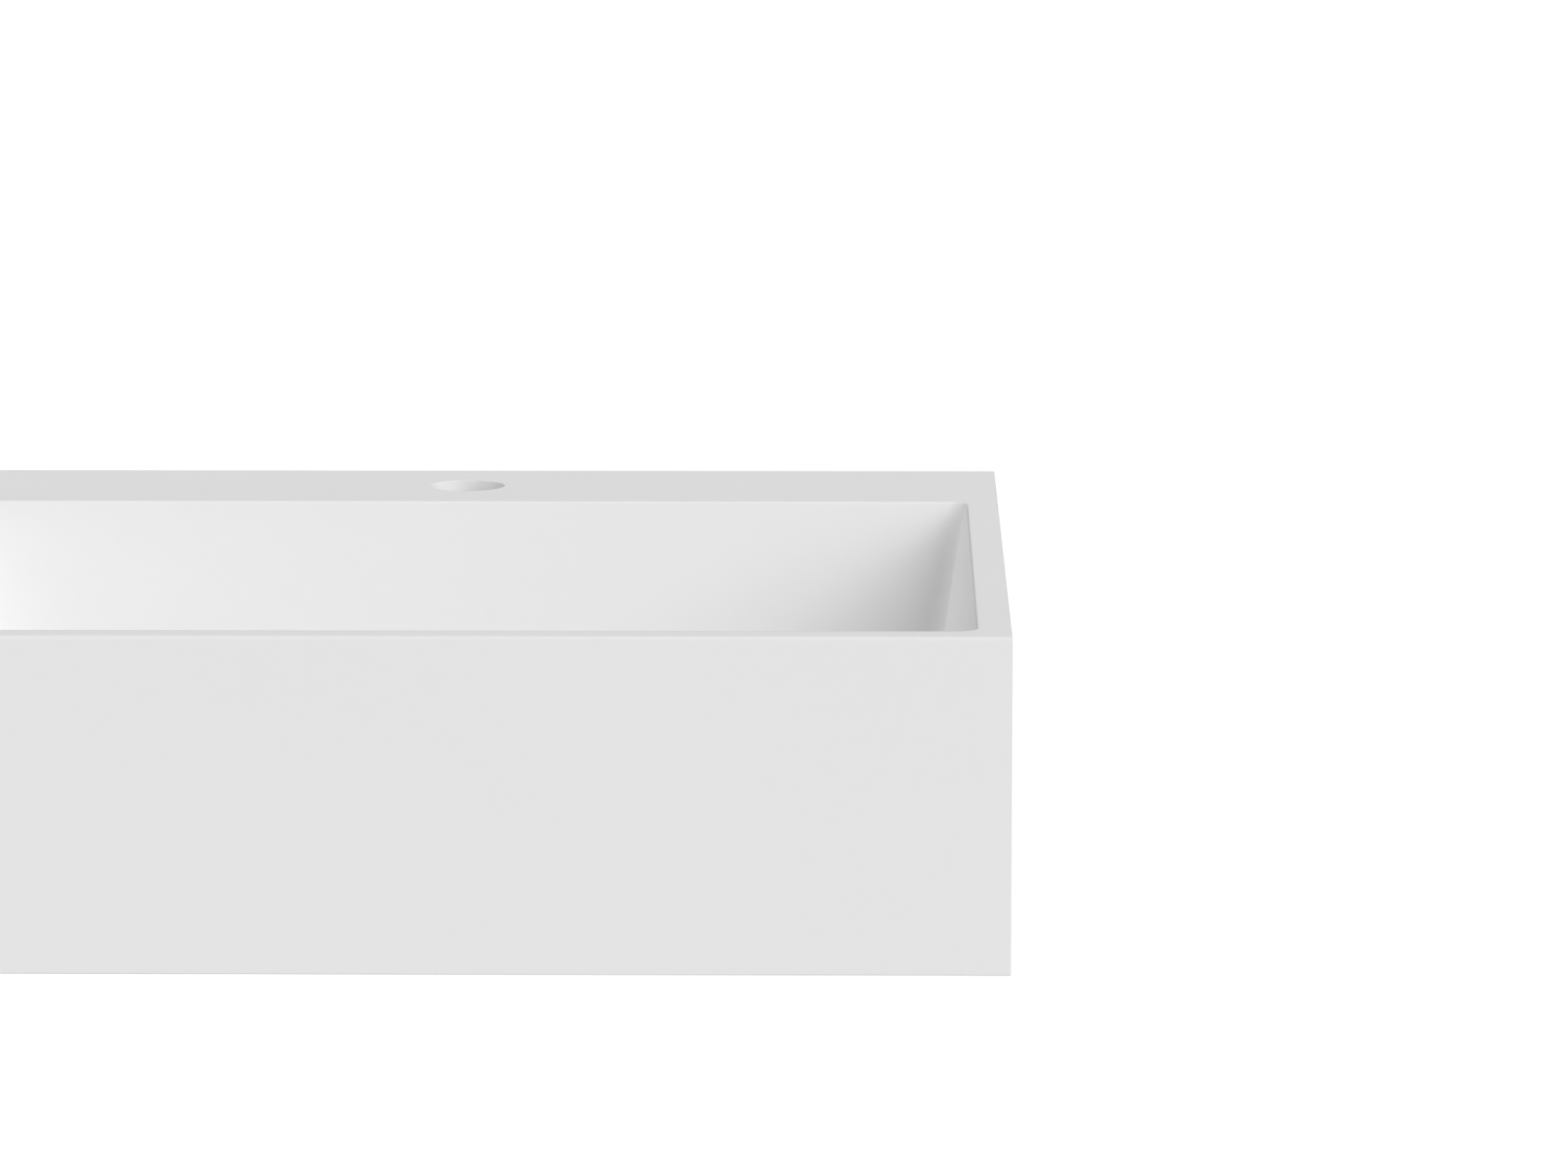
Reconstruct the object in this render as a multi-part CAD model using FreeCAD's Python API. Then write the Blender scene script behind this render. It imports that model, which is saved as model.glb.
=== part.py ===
import FreeCAD, Part
import math
import os

# Double washbasin, wall hung, in millimetres.
# X runs along the basin, the wall is the plane Y = 0, the front faces -Y, and Z = 0 is the line of the
# wall fixing holes. The origin lies on the wall face, midway between the two bowls.

Vector = FreeCAD.Vector
ORIGIN = Vector(0, 0, 0)
X_AXIS = Vector(1, 0, 0)
Y_AXIS = Vector(0, 1, 0)
Z_AXIS = Vector(0, 0, 1)
QUARTER_TURN = 90.0
FULL_TURN = 360.0

# Body outline
width = 1000.0
depth = 480.0
height = 145.0
front_edge_radius = 1.8
outer_edge_radius = 0.5
base_edge = 0.4

# Bowls
rim_width = 15.0
divider_width = 20.0
deck_depth = 100.0
bowl_depth = 95.0
floor_fall = 6.0
bowl_draft_angle = 10.0
bowl_inner_radius = 8.0
bowl_edge_radius = 1.2

# Shell below the bowls and the deck
floor_thickness = 20.0
wall_thickness = 15.0
deck_thickness = 16.0
web_thickness = 12.0
underside_draft_angle = 1.5
underside_corner_radius = 14.0
underside_cove = 5.0

# Tap holes
tap_setback = 50.0
tap_hole_radius = 17.5
tap_hole_edge = 0.6

# Wall fixings
fixing_drop = 75.0
fixing_spacing = 280.0
fixing_hole_radius = 7.0

# Waste: flange, throat and threaded tail
flange_radius = 32.5
flange_thickness = 2.5
flange_edge = 0.7
throat_radius = 17.5
seat_width = 4.0
seat_drop = 1.5
tail_radius = 20.955
tail_length = 75.0
thread_break_drop = 36.0
thread_break_width = 2.0
thread_break_depth = 1.2
recess_gap = 1.2
waste_hole_gap = 2.0

# Spider in the throat
spider_drop = 40.0
spider_height = 6.0
spider_arm_width = 2.6
spider_arm_count = 3
hub_radius = 7.5

# Seals and nut
seal_thickness = 1.5
seal_inset = 0.8
washer_radius = 33.0
washer_thickness = 3.5
washer_collar_rise = 2.2
nut_flats = 54.0
nut_height = 9.0
nut_corner_count = 6
nut_bevel_width = 1.5
nut_bevel_angle = 30.0

# Push-open cartridge
cartridge_radius = 6.5
cartridge_height = 32.0
shank_radius = 4.0
shank_overhang = 1.5

# Plug
plug_travel = 8.0
plug_rest_gap = 0.5
cap_radius = 31.5
cap_rim_height = 1.8
cap_bevel_width = 3.0
cap_bevel_height = 1.2
spigot_radius = 14.5
spigot_drop = 3.4
stem_radius = 3.0
stem_depth_in_cap = 1.0
stem_guided_length = 18.0
stem_stop_gap = 0.5

# Fits and overruns
fit_gap = 0.1
running_gap = 0.08
seal_gap = 0.3
overrun = 5.0

# Places worked out from the sizes above
top_level = fixing_drop
base_level = top_level - height
bowl_back = -deck_depth
bowl_front = rim_width - depth
bowl_far_end = width / 2 - rim_width
bowl_near_end = divider_width / 2
floor_level = top_level - bowl_depth
floor_underside = floor_level - floor_thickness
deck_underside = top_level - deck_thickness
bowl_middle = (bowl_near_end + bowl_far_end) / 2
waste_line = (bowl_back + bowl_front) / 2
recess_depth = flange_thickness + seal_thickness
seat_level = floor_level - floor_fall - recess_depth
flange_level = seat_level + seal_thickness
recess_radius = flange_radius + recess_gap
waste_hole_radius = tail_radius + waste_hole_gap
places = {"left": -bowl_middle, "right": bowl_middle}


def inset_over(drop, angle):
    """Return how far a drafted wall moves in over a height."""
    return drop * math.tan(math.radians(angle))


def frustum(top, bottom, top_height, bottom_height):
    """Return the flat-sided solid between two level rectangles, given as (x_low, x_high, y_low, y_high)."""
    wedge = Part.makeWedge(
        top[0],
        -top_height,
        top[2],
        bottom[2],
        bottom[0],
        top[1],
        -bottom_height,
        top[3],
        bottom[3],
        bottom[1],
    )
    wedge.rotate(ORIGIN, X_AXIS, -QUARTER_TURN)
    return wedge


def drafted_block(mouth_outline, mouth, drop, angle):
    """Return a sharp-cornered pocket's solid: largest at its mouth, drawn in by its draft over the drop."""
    x_low, x_high, y_low, y_high = mouth_outline
    inset = inset_over(abs(drop), angle)
    far_outline = (x_low + inset, x_high - inset, y_low + inset, y_high - inset)
    if drop < 0:
        return frustum(mouth_outline, far_outline, mouth, mouth + drop)
    return frustum(far_outline, mouth_outline, mouth + drop, mouth)


def upright_edges(block):
    """Return the edges that run from a pocket's mouth to its far face."""
    return [edge for edge in block.Edges if edge.BoundBox.ZLength > block.BoundBox.ZLength / 2]


def turned(outline):
    """Return the solid that a closed outline of (radius, height) points sweeps about Z."""
    corners = [Vector(radius, 0, level) for radius, level in outline]
    face = Part.Face(Part.makePolygon(corners + corners[:1]))
    return face.revolve(ORIGIN, Z_AXIS, FULL_TURN)


def edges_at(shape, height_wanted, tolerance_share=1e-6):
    """Return the edges that lie wholly at one height."""
    slack = height * tolerance_share
    found = []
    for edge in shape.Edges:
        box = edge.BoundBox
        if abs(box.ZMin - height_wanted) < slack and abs(box.ZMax - height_wanted) < slack:
            found.append(edge)
    return found


def outer_block():
    """Return the plain outer block: soft along the front's top edge and crisp at its other edges."""
    block = Part.makeBox(width, depth, height, Vector(-width / 2, -depth, base_level))
    front_top = [edge for edge in edges_at(block, top_level) if edge.BoundBox.YMax < -depth / 2]
    block = block.makeFillet(front_edge_radius, front_top)
    crisp = []
    for edge in block.Edges:
        box = edge.BoundBox
        upright_front = box.ZLength > height / 2 and box.YMax < -depth / 2
        upper = box.ZMin > base_level + height / 2
        on_an_end = box.XLength < width / 2
        on_the_wall = box.YMin > -depth / 2
        if upright_front or (upper and (on_an_end or on_the_wall)):
            crisp.append(edge)
    block = block.makeFillet(outer_edge_radius, crisp)
    base = [edge for edge in edges_at(block, base_level) if edge.CenterOfMass.y < -rim_width]
    return block.makeChamfer(base_edge, base)


def bowl(x):
    """Return one bowl as a solid: drafted walls, with one radius in its corners and round its floor."""
    half = (bowl_far_end - bowl_near_end) / 2
    mouth_outline = (x - half, x + half, bowl_front, bowl_back)
    pocket = drafted_block(mouth_outline, top_level, -bowl_depth, bowl_draft_angle)
    return pocket.makeFillet(bowl_inner_radius, upright_edges(pocket) + edges_at(pocket, floor_level))


def floor_falls(x):
    """Return the shallow four-sided funnel that leads a bowl's floor to its waste."""
    inset = inset_over(bowl_depth, bowl_draft_angle) + bowl_inner_radius
    half = (bowl_far_end - bowl_near_end) / 2 - inset
    rim = (x - half, x + half, bowl_front + inset, bowl_back - inset)
    bottom = (x, x, waste_line, waste_line)
    return frustum(rim, bottom, floor_level, floor_level - floor_fall)


def waste_seat(x):
    """Return the stepped hole for one waste: the flange's recess and the hole for its tail."""
    recess = Part.makeCylinder(recess_radius, recess_depth + floor_fall, Vector(x, waste_line, seat_level))
    drop = seat_level - floor_underside + overrun
    hole = Part.makeCylinder(waste_hole_radius, drop, Vector(x, waste_line, floor_underside - overrun))
    return recess.fuse(hole)


def service_channel(side):
    """Return the space under one half of the deck, open downwards, bevelled under the deck."""
    skirt_inset = inset_over(floor_underside - base_level, underside_draft_angle)
    near = side * web_thickness / 2
    far = side * (width / 2 - wall_thickness - skirt_inset)
    front = wall_thickness - deck_depth
    back = -wall_thickness - skirt_inset
    mouth_outline = (min(near, far), max(near, far), front, back)
    rise = deck_underside - floor_underside
    channel = drafted_block(mouth_outline, floor_underside, rise, underside_draft_angle)
    channel = channel.makeFillet(underside_corner_radius, upright_edges(channel))
    return channel.makeChamfer(underside_cove, edges_at(channel, deck_underside))


def base_recess():
    """Return the shallow space inside the skirt, below the floor and the channels."""
    half = width / 2 - wall_thickness
    mouth_outline = (-half, half, wall_thickness - depth, -wall_thickness)
    recess = drafted_block(mouth_outline, base_level, floor_underside - base_level, underside_draft_angle)
    return recess.makeFillet(underside_corner_radius, upright_edges(recess))


def tap_hole(x):
    """Return the hole through the deck for one tap, with its small bevel at the top."""
    drill_start = Vector(x, -tap_setback, deck_underside - overrun)
    drill = Part.makeCylinder(tap_hole_radius, deck_thickness + overrun * 2, drill_start)
    bevel_start = Vector(x, -tap_setback, top_level - tap_hole_edge)
    wide = tap_hole_radius + tap_hole_edge + overrun
    bevel = Part.makeCone(tap_hole_radius, wide, tap_hole_edge + overrun, bevel_start)
    return drill.fuse(bevel)


def is_bowl_edge(edge):
    """Tell whether a top edge belongs to the mouth of a bowl, and not to the outline."""
    box = edge.BoundBox
    margin = rim_width / 2
    inside_x = box.XMin > margin - width / 2 and box.XMax < width / 2 - margin
    return inside_x and box.YMin > margin - depth and box.YMax < -margin


def fixing_places():
    """Return the X of each wall fixing."""
    offsets = (-fixing_spacing / 2, fixing_spacing / 2)
    return [x + offset for x in places.values() for offset in offsets]


def fixing_hole(x):
    """Return the hole through the back panel for one hanger bolt."""
    start = Vector(x, overrun, 0)
    return Part.makeCylinder(fixing_hole_radius, wall_thickness + overrun * 2, start, -Y_AXIS)


def basin_body():
    """Return the cast shell."""
    body = outer_block()
    for x in places.values():
        body = body.cut(bowl(x))
        body = body.cut(floor_falls(x))
    rim_edges = [edge for edge in edges_at(body, top_level) if is_bowl_edge(edge)]
    body = body.makeFillet(bowl_edge_radius, rim_edges)
    body = body.cut(base_recess())
    for side in (-1, 1):
        body = body.cut(service_channel(side))
    for x in fixing_places():
        body = body.cut(fixing_hole(x))
    for x in places.values():
        body = body.cut(waste_seat(x))
        body = body.cut(tap_hole(x))
    return body.removeSplitter()


# The pieces of a waste are drawn round their own axis, with the flange's underside at height zero.

hole_bottom = floor_underside - flange_level
washer_underside = hole_bottom - washer_thickness
nut_underside = washer_underside - nut_height
washer_bore = tail_radius + fit_gap
cap_closed_level = flange_thickness + plug_rest_gap
cap_level = cap_closed_level + plug_travel
hub_top = -spider_drop
hub_bottom = hub_top - spider_height
cartridge_top = hub_top + cartridge_height
stem_top = cap_level + stem_depth_in_cap
stem_bottom = cartridge_top - stem_guided_length


def waste_body():
    """Return the waste: flange, conical seat, threaded tail, and the spider that carries the cartridge.

    A groove parts the tail's upper stretch, for the back nut, from the lower one, for the trap's union nut.
    """
    break_top = -thread_break_drop
    break_bottom = break_top - thread_break_width
    break_radius = tail_radius - thread_break_depth
    body = turned(
        [
            (flange_radius, 0),
            (flange_radius, flange_thickness - flange_edge),
            (flange_radius - flange_edge, flange_thickness),
            (throat_radius + seat_width, flange_thickness),
            (throat_radius, -seat_drop),
            (throat_radius, -tail_length),
            (tail_radius, -tail_length),
            (tail_radius, break_bottom),
            (break_radius, break_bottom),
            (break_radius, break_top),
            (tail_radius, break_top),
            (tail_radius, 0),
        ]
    )
    hub = Part.makeCylinder(hub_radius, spider_height, Vector(0, 0, hub_bottom))
    arm_reach = (throat_radius + tail_radius) / 2
    for index in range(spider_arm_count):
        corner = Vector(0, -spider_arm_width / 2, hub_bottom)
        arm = Part.makeBox(arm_reach, spider_arm_width, spider_height, corner)
        arm.rotate(ORIGIN, Z_AXIS, QUARTER_TURN + index * FULL_TURN / spider_arm_count)
        hub = hub.fuse(arm)
    hole_start = Vector(0, 0, hub_bottom - overrun)
    shank_hole = Part.makeCylinder(shank_radius + fit_gap, spider_height + overrun * 2, hole_start)
    return body.fuse(hub.cut(shank_hole)).removeSplitter()


def flange_seal():
    """Return the flat ring between the flange and the recess."""
    inner = waste_hole_radius + seal_inset
    outer = flange_radius - seal_inset
    return turned([(inner, -seal_thickness), (outer, -seal_thickness), (outer, 0), (inner, 0)])


def under_seal():
    """Return the rubber washer below the floor, with the collar that centres the tail in its hole."""
    collar_radius = waste_hole_radius - seal_gap
    collar_top = hole_bottom + washer_collar_rise
    return turned(
        [
            (washer_bore, washer_underside),
            (washer_radius, washer_underside),
            (washer_radius, hole_bottom),
            (collar_radius, hole_bottom),
            (collar_radius, collar_top),
            (washer_bore, collar_top),
        ]
    )


def back_nut():
    """Return the hexagon nut, with its corners turned off on the lower face."""
    corner_radius = nut_flats / 2 / math.cos(math.pi / nut_corner_count)
    corners = []
    for index in range(nut_corner_count + 1):
        angle = 2 * math.pi * index / nut_corner_count
        x = corner_radius * math.cos(angle)
        y = corner_radius * math.sin(angle)
        corners.append(Vector(x, y, nut_underside))
    hexagon = Part.Face(Part.makePolygon(corners)).extrude(Vector(0, 0, nut_height))
    blank = turned(
        [
            (washer_bore, nut_underside),
            (corner_radius - nut_bevel_width, nut_underside),
            (corner_radius, nut_underside + inset_over(nut_bevel_width, nut_bevel_angle)),
            (corner_radius, washer_underside),
            (washer_bore, washer_underside),
        ]
    )
    return hexagon.common(blank)


def click_cartridge():
    """Return the closed housing of the push-open catch: guide bore above, shank in the spider below."""
    bore = stem_radius + running_gap
    bore_bottom = stem_bottom - plug_travel - stem_stop_gap
    shank_bottom = hub_bottom - shank_overhang
    return turned(
        [
            (0, shank_bottom),
            (shank_radius, shank_bottom),
            (shank_radius, hub_top),
            (cartridge_radius, hub_top),
            (cartridge_radius, cartridge_top),
            (bore, cartridge_top),
            (bore, bore_bottom),
            (0, bore_bottom),
        ]
    )


def plug_stem():
    """Return the round stem that slides in the cartridge and is screwed into the cap."""
    return Part.makeCylinder(stem_radius, stem_top - stem_bottom, Vector(0, 0, stem_bottom))


def plug_cap():
    """Return the flat bevelled cap, with the spigot below it that holds the seal and takes the stem."""
    hole = stem_radius + fit_gap
    spigot_bottom = cap_level - spigot_drop
    rim_top = cap_level + cap_rim_height
    cap_top = rim_top + cap_bevel_height
    return turned(
        [
            (0, stem_top + fit_gap),
            (hole, stem_top + fit_gap),
            (hole, spigot_bottom),
            (spigot_radius, spigot_bottom),
            (spigot_radius, cap_level),
            (cap_radius, cap_level),
            (cap_radius, rim_top),
            (cap_radius - cap_bevel_width, cap_top),
            (0, cap_top),
        ]
    )


def plug_seal():
    """Return the ring on the cap's spigot. Shut, its lower edge stands a small gap off the conical seat."""
    inner = spigot_radius + fit_gap
    bottom = cap_level - spigot_drop
    top = cap_level - fit_gap
    seat_slope = (flange_thickness + seat_drop) / seat_width
    gap_across = seal_gap * math.hypot(1, seat_slope) / seat_slope
    seat_radius = throat_radius + (bottom - plug_travel + seat_drop) / seat_slope
    outer = seat_radius - gap_across
    return turned([(inner, bottom), (outer, bottom), (outer, top), (inner, top)])


def at_place(shape, x):
    """Return a waste's piece moved to its place in a bowl's floor."""
    moved = shape.copy()
    moved.translate(Vector(x, waste_line, flange_level))
    return moved


def export(name, shape):
    """Write one node's STEP file."""
    shape.exportStep("parts/" + name + ".step")
    print(name, len(shape.Solids), shape.isValid(), round(shape.Volume), len(shape.Faces))


os.makedirs("parts", exist_ok=True)
export("basin_body", basin_body())

moving_pieces = {
    "plug_stem": plug_stem(),
    "plug_seal": plug_seal(),
    "plug_cap": plug_cap(),
}
for side, x in places.items():
    for piece, shape in moving_pieces.items():
        export(side + "_" + piece, at_place(shape, x))

fixed_pieces = {
    "waste_bodies": waste_body(),
    "click_cartridges": click_cartridge(),
    "flange_seals": flange_seal(),
    "under_seals": under_seal(),
    "back_nuts": back_nut(),
}
for piece, shape in fixed_pieces.items():
    export(piece, Part.makeCompound([at_place(shape, x) for x in places.values()]))
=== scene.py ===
"""Double washbasin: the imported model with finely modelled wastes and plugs, finishes and a studio."""

import logging
import math
from dataclasses import dataclass
from enum import Enum
from itertools import pairwise
from typing import Callable

import bmesh
import bpy
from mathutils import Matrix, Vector


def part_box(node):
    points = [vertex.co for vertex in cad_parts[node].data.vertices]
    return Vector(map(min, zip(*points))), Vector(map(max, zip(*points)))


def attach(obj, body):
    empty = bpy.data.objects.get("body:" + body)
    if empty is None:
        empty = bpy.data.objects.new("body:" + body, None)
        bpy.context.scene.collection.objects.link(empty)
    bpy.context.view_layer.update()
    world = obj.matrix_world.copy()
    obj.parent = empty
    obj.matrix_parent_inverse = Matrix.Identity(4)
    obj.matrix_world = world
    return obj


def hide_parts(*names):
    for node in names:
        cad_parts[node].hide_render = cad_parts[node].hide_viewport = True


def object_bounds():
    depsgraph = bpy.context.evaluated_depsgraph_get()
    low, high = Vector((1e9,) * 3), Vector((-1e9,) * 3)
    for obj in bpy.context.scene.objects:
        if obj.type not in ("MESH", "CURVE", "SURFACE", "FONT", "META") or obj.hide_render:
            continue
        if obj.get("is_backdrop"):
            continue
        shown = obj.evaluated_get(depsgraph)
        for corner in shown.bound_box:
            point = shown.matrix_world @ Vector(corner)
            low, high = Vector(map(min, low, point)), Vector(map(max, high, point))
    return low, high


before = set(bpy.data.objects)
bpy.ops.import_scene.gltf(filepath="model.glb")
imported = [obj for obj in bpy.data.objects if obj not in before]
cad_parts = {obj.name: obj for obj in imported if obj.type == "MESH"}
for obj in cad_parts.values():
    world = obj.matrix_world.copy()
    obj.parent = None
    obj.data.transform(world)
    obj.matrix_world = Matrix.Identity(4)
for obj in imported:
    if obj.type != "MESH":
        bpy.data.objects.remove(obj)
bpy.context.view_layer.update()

LOG = logging.getLogger("washbasin")
Point = tuple[float, float]
Colour = tuple[float, float, float, float]
Mouth = tuple[float, float, float, float]  # lowest and highest X, lowest and highest Y
Triple = tuple[float, float, float]
Piece = bpy.types.Object
Socket = bpy.types.NodeSocket
WHITE = (1, 1, 1, 1)
NEAR = 1e-6
RING_STEPS = 96
FULL_TURN = 2 * math.pi
QUARTER_TURN = math.pi / 2


class Side(Enum):
    """One of the two washing places, named as a user in front of the basin sees it."""

    LEFT = "left"
    RIGHT = "right"


class Pick(Enum):
    """What is picked in edit mode."""

    POINTS = "VERT"
    EDGES = "EDGE"
    FACES = "FACE"


class Bench:
    """The modelling steps that the pieces share."""

    @staticmethod
    def clear() -> None:
        """Leave edit mode and leave nothing selected."""
        if bpy.context.mode != "OBJECT":
            bpy.ops.object.mode_set(mode="OBJECT")
        bpy.ops.object.select_all(action="DESELECT")

    @classmethod
    def take(cls, *pieces: Piece) -> None:
        """Select these pieces alone, and make the last one active.

        Args:
            pieces: The pieces to select.
        """
        cls.clear()
        for piece in pieces:
            piece.select_set(True)
            bpy.context.view_layer.objects.active = piece

    @classmethod
    def edit(cls, piece: Piece) -> None:
        """Open a piece in edit mode, with all of it selected.

        Args:
            piece: The piece.
        """
        cls.take(piece)
        bpy.ops.object.mode_set(mode="EDIT")
        bpy.ops.mesh.select_mode(type=Pick.POINTS.value)
        bpy.ops.mesh.select_all(action="SELECT")

    @staticmethod
    def close() -> None:
        """Merge doubled points, turn all faces outwards and leave edit mode."""
        bpy.ops.mesh.select_all(action="SELECT")
        bpy.ops.mesh.remove_doubles(threshold=NEAR)
        bpy.ops.mesh.normals_make_consistent(inside=False)
        bpy.ops.object.mode_set(mode="OBJECT")

    @staticmethod
    def adopt(name: str) -> Piece:
        """Name the primitive that was just added, and put its origin at the frame's origin.

        Args:
            name: The piece's name.

        Returns:
            The piece, in object mode.
        """
        piece = bpy.context.object
        piece.name = name
        piece.data.name = name
        bpy.ops.object.transform_apply(location=True, rotation=True, scale=True)
        return piece

    @staticmethod
    def choose(kind: Pick, wanted: Callable[[list[Vector]], bool]) -> None:
        """Select, in edit mode, the items whose corners are wanted together.

        Args:
            kind: Points, edges or faces.
            wanted: Tells of an item's corners whether it belongs to the choice.
        """
        bpy.ops.mesh.select_mode(type=kind.value)
        bpy.ops.mesh.select_all(action="DESELECT")
        mesh = bpy.context.object.data
        shape = bmesh.from_edit_mesh(mesh)
        groups = {Pick.POINTS: shape.verts, Pick.EDGES: shape.edges, Pick.FACES: shape.faces}
        for item in groups[kind]:
            corners = [item] if kind is Pick.POINTS else item.verts
            if wanted([corner.co for corner in corners]):
                item.select_set(True)
        shape.select_flush_mode()
        bmesh.update_edit_mesh(mesh)

    @classmethod
    def pick(cls, kind: Pick, wanted: Callable[[Vector], bool]) -> None:
        """Select, in edit mode, the items whose corners are each wanted."""
        cls.choose(kind, lambda corners: all(wanted(corner) for corner in corners))

    @classmethod
    def pick_edges(cls, wanted: Callable[[Vector, Vector], bool]) -> None:
        """Select, in edit mode, the edges whose two ends are wanted together."""
        cls.choose(Pick.EDGES, lambda ends: wanted(*ends))

    @staticmethod
    def lift(height: float) -> None:
        """Extrude what is selected along the Z axis."""
        bpy.ops.mesh.extrude_region_move(TRANSFORM_OT_translate={"value": (0, 0, height)})

    @classmethod
    def next_ring(cls, start: Point, end: Point) -> None:
        """Extrude the selected ring to its next radius and level, or to a point on the axis.

        Args:
            start: The ring's radius and level.
            end: The next ring's radius and level.
        """
        cls.lift(end[1] - start[1])
        if end[0] > 0:
            share = end[0] / start[0]
            bpy.ops.transform.resize(value=(share, share, 1), center_override=(0, 0, end[1]))
        else:
            bpy.ops.mesh.merge(type="CENTER")

    @classmethod
    def turned(cls, name: str, outline: list[Point], steps: int = RING_STEPS) -> Piece:
        """Make a round piece about the Z axis, one ring after another.

        Args:
            name: The piece's name.
            outline: Radius and level of each ring. It starts and ends on the axis, or comes back to
                its start.
            steps: How many points each ring has.

        Returns:
            The closed piece, in object mode.
        """
        cls.clear()
        poles = [point for point in (outline[0], outline[-1]) if point[0] == 0]
        rings = [point for point in outline if point[0] > 0]
        radius, level = rings[0]
        bpy.ops.mesh.primitive_circle_add(vertices=steps, radius=radius, location=(0, 0, level))
        piece = cls.adopt(name)
        cls.edit(piece)
        if poles:
            cls.next_ring(rings[0], poles[0])
            cls.pick(
                Pick.POINTS,
                lambda at: abs(at.z - level) < NEAR and abs(math.hypot(at.x, at.y) - radius) < NEAR,
            )
        for start, end in pairwise(rings):
            cls.next_ring(start, end)
        if poles:
            cls.next_ring(rings[-1], poles[-1])
        cls.close()
        return piece

    @classmethod
    def cube(cls, name: str, size: Triple, middle: Triple) -> Piece:
        """Make a block and leave it in edit mode.

        Args:
            name: The block's name.
            size: Its three sizes.
            middle: Its middle.

        Returns:
            The block.
        """
        cls.clear()
        bpy.ops.mesh.primitive_cube_add(size=1, location=middle)
        made = cls.adopt(name)
        cls.edit(made)
        bpy.ops.transform.resize(value=size, center_override=middle)
        return made

    @classmethod
    def apply(cls, piece: Piece, kind: str, **settings: object) -> None:
        """Give a piece one modifier and apply it.

        Args:
            piece: The piece.
            kind: The modifier's type.
            settings: The modifier's values.
        """
        cls.take(piece)
        modifier = piece.modifiers.new(kind.lower(), kind)
        for name, value in settings.items():
            setattr(modifier, name, value)
        bpy.ops.object.modifier_apply(modifier=modifier.name)

    @classmethod
    def soften(cls, piece: Piece, width: float, steps: int = 3, angle: float = 35.0) -> Piece:
        """Round every edge that is sharper than an angle.

        Args:
            piece: The piece.
            width: The rounding's width.
            steps: Faces across the rounding.
            angle: The angle in degrees.

        Returns:
            The piece.
        """
        limit = math.radians(angle)
        cls.apply(piece, "BEVEL", width=width, segments=steps, limit_method="ANGLE", angle_limit=limit)
        return piece

    @classmethod
    def smooth(cls, piece: Piece, angle: float = 40.0) -> Piece:
        """Shade a finished piece smoothly, with its large faces flat.

        Args:
            piece: The piece.
            angle: Edges sharper than this, in degrees, stay crisp.

        Returns:
            The piece.
        """
        cls.take(piece)
        bpy.ops.object.shade_smooth_by_angle(angle=math.radians(angle))
        cls.apply(piece, "WEIGHTED_NORMAL", keep_sharp=True)
        return piece

    @classmethod
    def join(cls, name: str, *pieces: Piece) -> Piece:
        """Join pieces into the last of them.

        Args:
            name: The joined piece's name.
            pieces: The pieces.

        Returns:
            The joined piece.
        """
        cls.take(*pieces)
        bpy.ops.object.join()
        pieces[-1].name = name
        return pieces[-1]

    @classmethod
    def copy(cls, piece: Piece, name: str) -> Piece:
        """Copy a piece with its own mesh.

        Args:
            piece: The piece.
            name: The copy's name.

        Returns:
            The copy.
        """
        cls.take(piece)
        bpy.ops.object.duplicate(linked=False)
        twin = bpy.context.object
        twin.name = name
        twin.data.name = name
        return twin


class Effect(Enum):
    """The shared effects, each a node group."""

    DRIFT = "tone_drift"
    SHEEN = "uneven_sheen"
    GRAIN = "fine_grain"
    TURNING = "turning_marks"


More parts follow.
